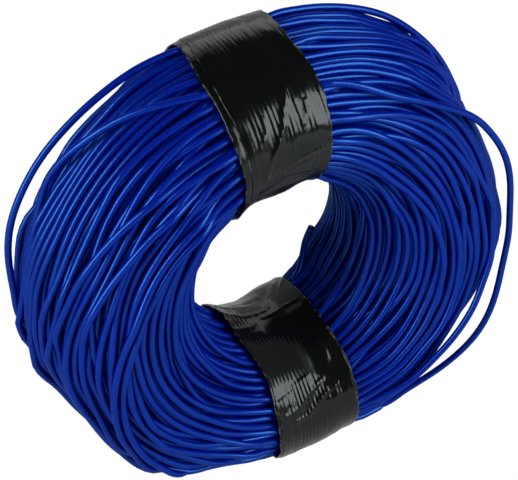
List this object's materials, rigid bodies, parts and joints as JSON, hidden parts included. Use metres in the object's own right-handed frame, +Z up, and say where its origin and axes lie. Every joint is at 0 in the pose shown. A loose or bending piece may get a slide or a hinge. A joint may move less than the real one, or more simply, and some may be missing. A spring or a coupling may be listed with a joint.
{
  "type": "wire coil",
  "caption": "Hand-wound ring of blue insulated copper wire, tied above and below with black cloth tape, standing on its rim.",
  "frame": {"origin": "on the floor, straight below the coil's axis and halfway along it", "axes": "+Y along the coil's axis towards its back, +Z up, +X to the right as seen from the front"},
  "size_m": [0.2667, 0.104, 0.2606],
  "materials": {
    "wire_insulation": "satin blue PVC",
    "copper_strands": "drawn copper strands",
    "cloth_tape": "ribbed cloth tape, glossy coating"
  },
  "bodies": {
    "root": {"inner_turns": "wire_insulation", "outer_turns": "wire_insulation", "slack_turn_left": "wire_insulation", "slack_turn_top": "wire_insulation", "slack_turn_right": "wire_insulation", "inner_end_insulation": "wire_insulation", "inner_end_conductor": "copper_strands", "upper_tape": "cloth_tape", "upper_tape_end": "cloth_tape", "lower_tape": "cloth_tape", "lower_tape_end": "cloth_tape"}
  },
  "joints": []
}
